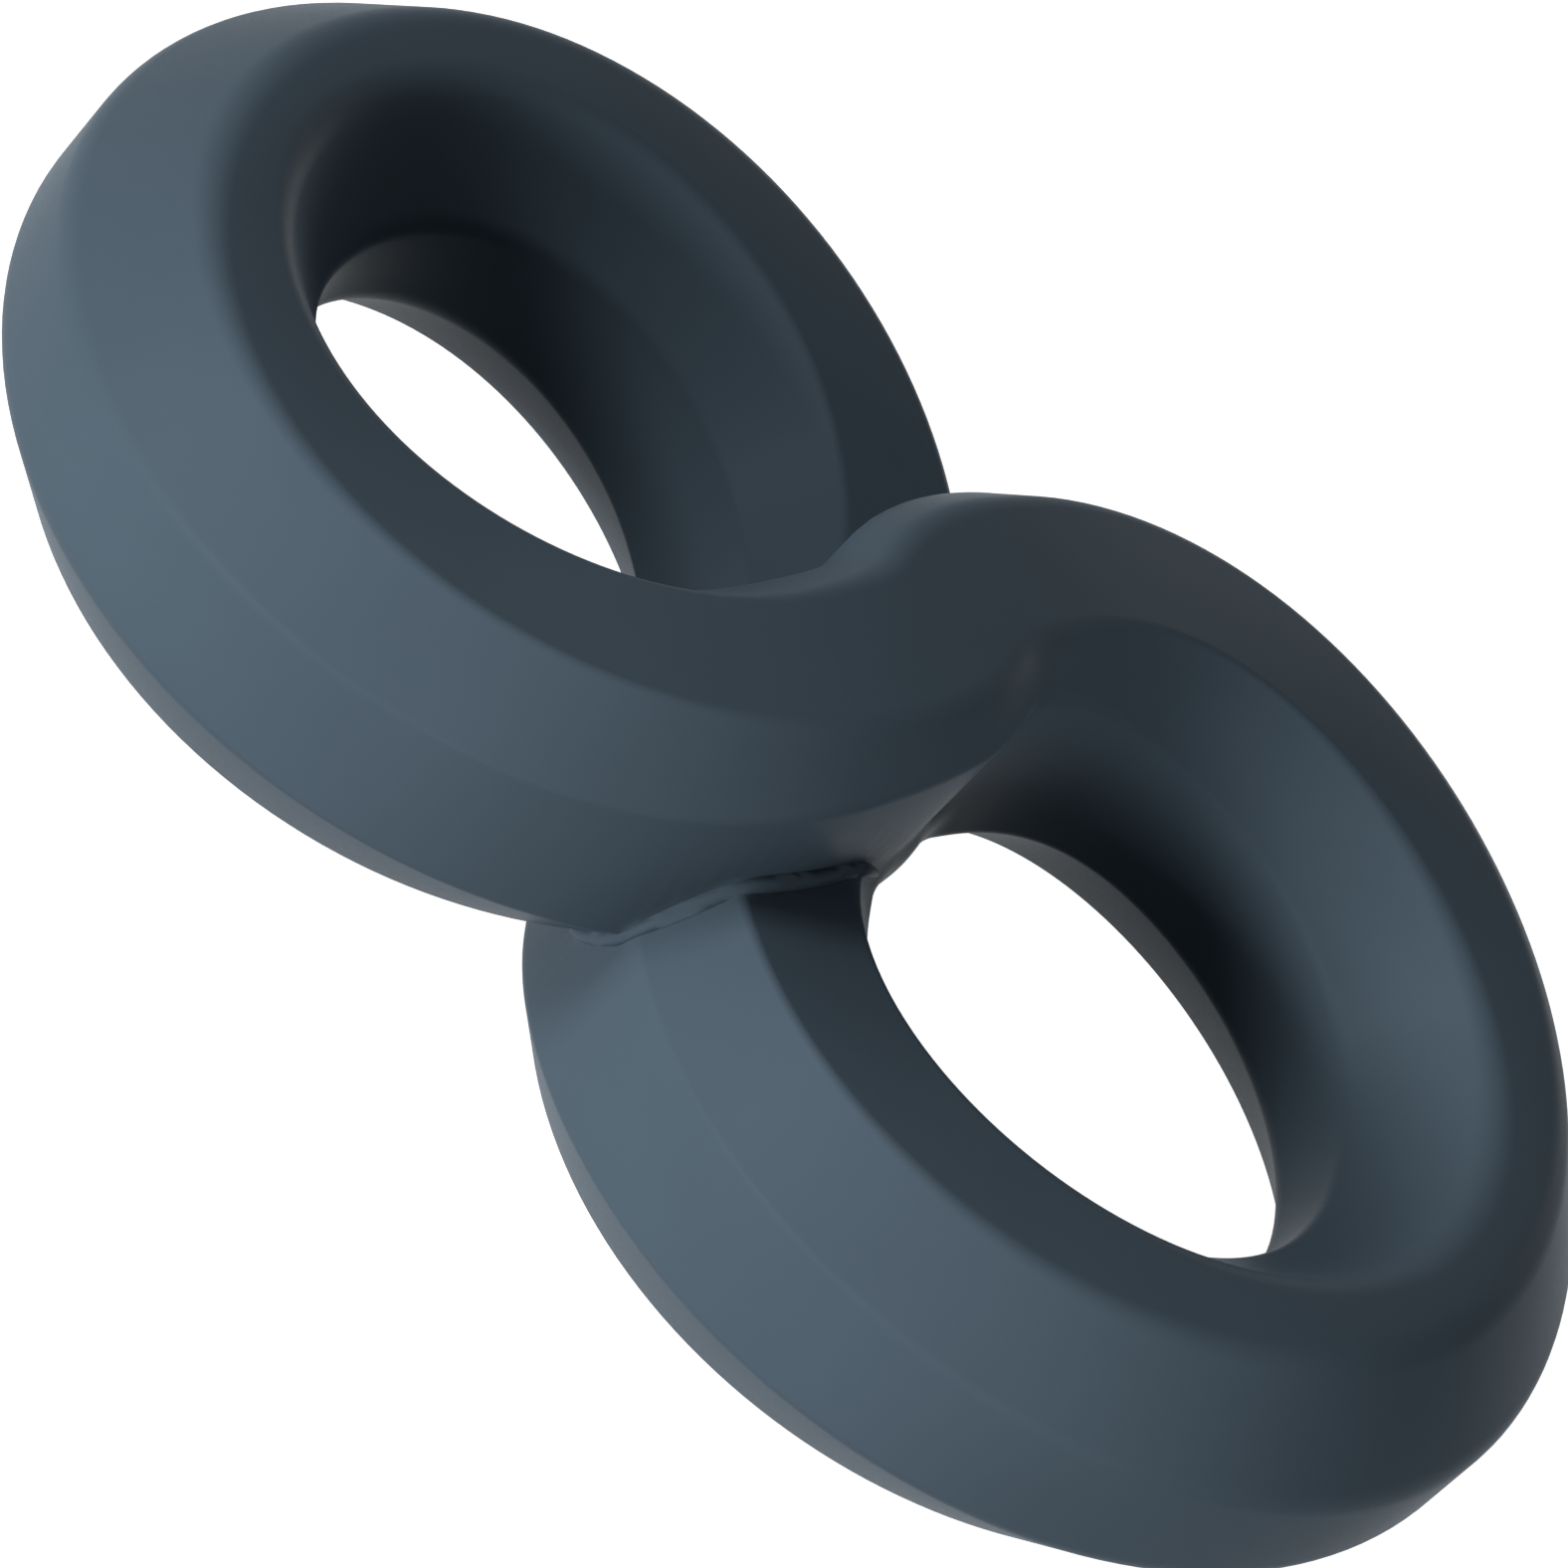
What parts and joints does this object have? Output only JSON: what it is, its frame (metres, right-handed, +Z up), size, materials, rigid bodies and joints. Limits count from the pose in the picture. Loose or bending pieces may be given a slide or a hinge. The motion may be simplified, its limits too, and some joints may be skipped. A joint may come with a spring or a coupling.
{
  "type": "figure-eight massage ring",
  "caption": "Soft silicone massage ring in a figure-eight: a thick bevelled strand runs round an open loop at each end and crosses over itself in the middle.",
  "frame": {"origin": "middle of the footprint, on the surface that the ring stands on, straight under the crossing", "axes": "+X from the left loop to the right loop, +Z up through the crossing, away from the resting surface, with the front pass on top"},
  "size_m": [0.0844, 0.0486, 0.0254],
  "materials": {
    "slate_silicone": "matte moulded silicone, dark slate blue"
  },
  "bodies": {
    "root": {"left_loop": "slate_silicone", "right_loop": "slate_silicone", "front_pass": "slate_silicone", "back_pass": "slate_silicone"}
  },
  "joints": []
}
